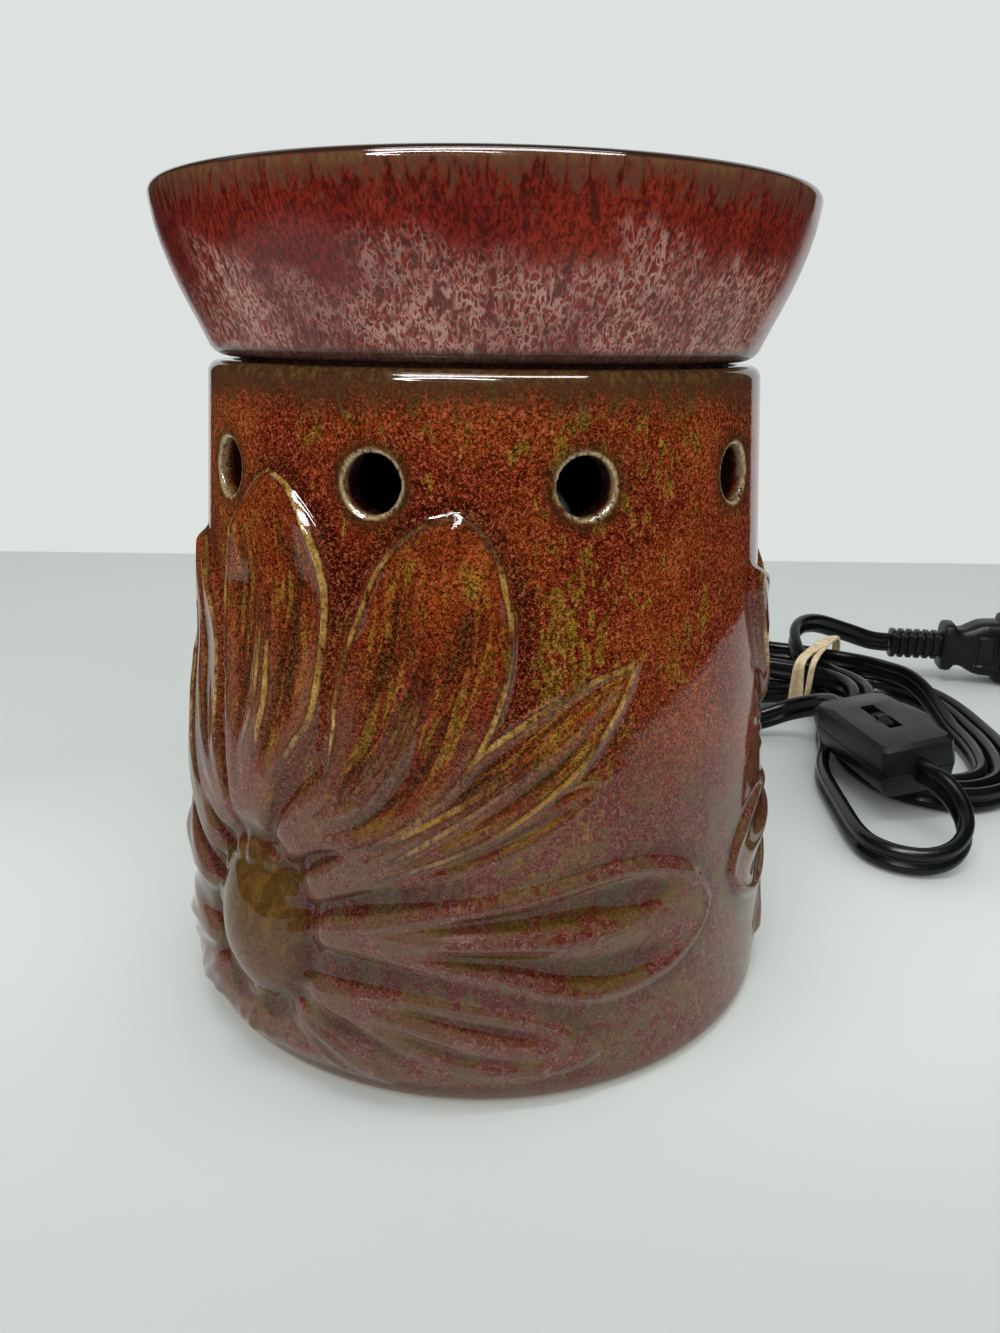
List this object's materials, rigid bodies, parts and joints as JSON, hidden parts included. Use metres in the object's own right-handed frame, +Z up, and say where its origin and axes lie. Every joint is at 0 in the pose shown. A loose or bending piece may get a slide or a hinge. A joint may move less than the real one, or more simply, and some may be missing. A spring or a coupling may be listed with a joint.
{
  "type": "wax warmer",
  "caption": "Electric wax warmer: flared ceramic shell with moulded daisies and a ring of vents, loose melting dish, lamp inside, flat lead with in-line switch and plug.",
  "frame": {"origin": "centre of the circle it stands on, on the table", "axes": "+Z up along the axis of the shell, -Y towards the viewer of the picture"},
  "size_m": [0.2834, 0.2541, 0.152],
  "materials": {
    "glaze_body": "glossy reactive glaze, rust red to mauve",
    "glaze_dish": "glossy reactive glaze, deep red",
    "plated_steel": "zinc plated sheet",
    "zinc_fittings": "zinc plated",
    "brass_contacts": "bright",
    "black_phenolic": "satin phenolic",
    "black_vinyl": "soft vinyl, satin",
    "black_plastic": "satin moulding",
    "black_rubber": "matt",
    "tan_rubber": "matt natural rubber",
    "white_vinyl": "soft vinyl",
    "frosted_glass": "frosted",
    "stem_glass": "clear",
    "tungsten_wire": "drawn wire"
  },
  "bodies": {
    "warmer": {"warmer_body": "glaze_body", "base_plate": "plated_steel", "clamp_bridge": "zinc_fittings", "clamp_screw_left": "zinc_fittings", "clamp_screw_right": "zinc_fittings", "socket_nipple": "zinc_fittings", "nipple_nut_lower": "zinc_fittings", "nipple_nut_upper": "zinc_fittings", "lock_washer": "plated_steel", "socket_body": "black_phenolic", "socket_shell": "brass_contacts", "socket_contact": "brass_contacts", "terminal_screw_line": "brass_contacts", "terminal_screw_neutral": "brass_contacts", "wire_line": "black_vinyl", "wire_neutral": "white_vinyl", "foot_1": "black_rubber", "foot_2": "black_rubber", "foot_3": "black_rubber", "foot_4": "black_rubber", "cord_bushing": "black_rubber", "cord_lead": "black_vinyl", "cord_front_loop": "black_vinyl", "cord_hank": "black_vinyl", "cord_plug_lead": "black_vinyl", "rubber_band": "tan_rubber", "switch_housing_lower": "black_plastic", "switch_housing_upper": "black_plastic", "switch_axle": "zinc_fittings", "switch_contact_feed": "brass_contacts", "switch_contact_load": "brass_contacts", "switch_screw_front": "zinc_fittings", "switch_screw_back": "zinc_fittings", "plug_body": "black_plastic", "plug_blade_line": "brass_contacts", "plug_blade_neutral": "brass_contacts"},
    "dish": {"melting_dish": "glaze_dish"},
    "lamp": {"bulb_glass": "frosted_glass", "bulb_cap": "brass_contacts", "bulb_insulator": "black_phenolic", "bulb_tip": "brass_contacts", "bulb_stem": "stem_glass", "bulb_filament": "tungsten_wire"},
    "wheel": {"switch_wheel": "black_plastic"}
  },
  "joints": [
    {"name": "dish_lift", "type": "slide", "parent": "warmer", "child": "dish", "axis": [0, 0, 1], "range_m": [0, 0.06]},
    {"name": "lamp_turn", "type": "hinge", "parent": "warmer", "child": "lamp", "pos_m": [0, 0, 0.046], "axis": [0, 0, 1], "range_deg": [0, 1080]},
    {"name": "wheel_turn", "type": "hinge", "parent": "warmer", "child": "wheel", "pos_m": [0.11571, 0.06977, 0.01751], "axis": [0.9746, 0.1754, 0.1392], "continuous": true}
  ]
}
